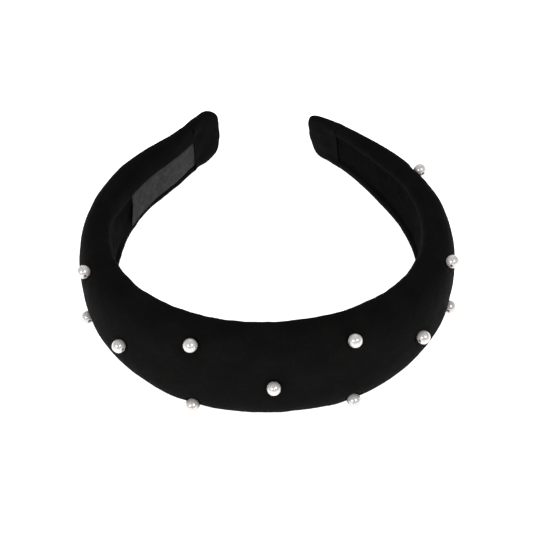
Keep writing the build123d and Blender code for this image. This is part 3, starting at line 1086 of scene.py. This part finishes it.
# ======================= build everything =======================
velvet = velvet_material()
build_cover(velvet)
build_foam(foam_material())
build_lining(woven_material("ribbon", (0.0020, 0.0027, 0.0036), 314.0, 170.0, 0.008))
build_label(woven_material("label", (0.016, 0.036, 0.064), 520.0, 420.0, 0.05))
for side_name in SIDES:
    build_wrap(side_name, velvet)

pearl = pearl_material()
thread = thread_material()
for name, body, axes in PEARLS:
    build_pearl(name, body, axes, pearl)
    build_stitch(name, body, axes, thread)

plastic = plastic_material()
for name in ("core_crown", "core_left", "core_right"):
    mesh = frame["nodes"][name].data
    mesh.materials.clear()
    mesh.materials.append(plastic)

# ======================= studio =======================
FLOOR_SIZE = 8.0
FLOOR_GAP = 0.0002           # from the floor to the lowest point of the hoop
WORLD_STRENGTH = 0.42

# ---- the darker patch of room behind the photographer, by the cosine of the angle off its middle ----
PATCH_FROM = 0.72
PATCH_FULL = 0.94
PATCH_SHADE = 0.12           # of the room's own brightness

# ---- the photograph's camera, in the plane of the hoop ----
CAMERA_ELEVATION = math.radians(43.3)
CAMERA_AZIMUTH = math.radians(-1.625)
CAMERA_ROLL = math.radians(-0.464)
CAMERA_DISTANCE = 585.9
CAMERA_AIM = np.array([0.0, 62.4, 0.0])
CAMERA_LENS = 92.87
CAMERA_SHIFT = (-0.00146, -0.0161)


def camera_axes():
    """Right, up and back of the camera."""
    azimuth, elevation, roll = CAMERA_AZIMUTH, CAMERA_ELEVATION, CAMERA_ROLL
    level_back = np.array([math.sin(azimuth), -math.cos(azimuth), 0.0])
    back = level_back * math.cos(elevation) + np.array([0.0, 0.0, math.sin(elevation)])
    level = np.array([math.cos(azimuth), math.sin(azimuth), 0.0])
    rising = np.cross(back, level)
    right = level * math.cos(roll) + rising * math.sin(roll)
    up = rising * math.cos(roll) - level * math.sin(roll)
    return right, up, back


def build_floor():
    low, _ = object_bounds()
    mesh = bpy.data.meshes.new("floor")
    half = FLOOR_SIZE / 2
    height = min(low.z, 0.0) - FLOOR_GAP
    corners = [(x * half, y * half, height) for x, y in ((-1, -1), (1, -1), (1, 1), (-1, 1))]
    mesh.from_pydata(corners, [], [(0, 1, 2, 3)])
    floor = bpy.data.objects.new("floor", mesh)
    bpy.context.scene.collection.objects.link(floor)
    n = Nodes("floor_paper")
    colour = n.colours(n.noise(3.0, 2.0), [(0.3, grey(0.90)), (0.7, grey(0.92))])
    n.link(colour, n.shader.inputs["Base Color"])
    n.set(Roughness=0.9, Specular_IOR_Level=0.1, Emission_Color=(1, 1, 1, 1), Emission_Strength=0.90)
    mesh.materials.append(n.material)


def softbox(name, place, size, power, aim=(0.0, 0.0, 0.02)):
    data = bpy.data.lights.new(name, "AREA")
    data.shape = "RECTANGLE"
    data.size, data.size_y = size
    data.energy = power
    lamp = bpy.data.objects.new(name, data)
    lamp.location = place
    lamp.rotation_mode = "QUATERNION"
    lamp.rotation_quaternion = (Vector(aim) - Vector(place)).to_track_quat("-Z", "Y")
    bpy.context.scene.collection.objects.link(lamp)
    lamp.visible_camera = False


def build_world():
    """Pale studio all round, with a darker patch of room behind the photographer."""
    world = bpy.data.worlds.new("studio")
    world.use_nodes = True
    tree = world.node_tree
    background = tree.nodes["Background"]
    background.inputs["Strength"].default_value = WORLD_STRENGTH
    where = tree.nodes.new("ShaderNodeTexCoord")
    dot = tree.nodes.new("ShaderNodeVectorMath")
    dot.operation = "DOT_PRODUCT"
    dot.inputs[1].default_value = tuple(TURN @ camera_axes()[2])
    shade = tree.nodes.new("ShaderNodeMapRange")
    for socket, number in zip(REMAP_SOCKETS, (PATCH_FROM, PATCH_FULL, 1.0, PATCH_SHADE)):
        shade.inputs[socket].default_value = number
    tree.links.new(where.outputs["Generated"], dot.inputs[0])
    tree.links.new(dot.outputs["Value"], shade.inputs["Value"])
    tree.links.new(shade.outputs["Result"], background.inputs["Color"])
    bpy.context.scene.world = world


def build_camera():
    right, up, back = camera_axes()
    data = bpy.data.cameras.new("camera")
    data.lens = CAMERA_LENS
    data.sensor_width = 36.0
    data.shift_x, data.shift_y = CAMERA_SHIFT
    data.clip_start, data.clip_end = 0.01, 50.0
    camera = bpy.data.objects.new("camera", data)
    axes = np.stack([TURN @ right, TURN @ up, TURN @ back], axis=1)
    matrix = Matrix(axes.tolist()).to_4x4()
    matrix.translation = Vector(to_frame(CAMERA_AIM + back * CAMERA_DISTANCE))
    camera.matrix_world = matrix
    bpy.context.scene.collection.objects.link(camera)
    bpy.context.scene.camera = camera


build_floor()
build_world()
softbox("key_softbox", (0.58, -0.62, 1.05), (0.5, 0.5), 6.4)
softbox("fill_softbox", (-0.75, -0.80, 0.80), (0.5, 0.5), 7.6)
softbox("back_softbox", (0.1, 1.2, 1.0), (1.2, 0.5), 2.0)
softbox("front_softbox", (0.16, -0.90, 0.76), (0.14, 0.14), 0.55)
build_camera()
bpy.context.scene.view_settings.view_transform = "Standard"
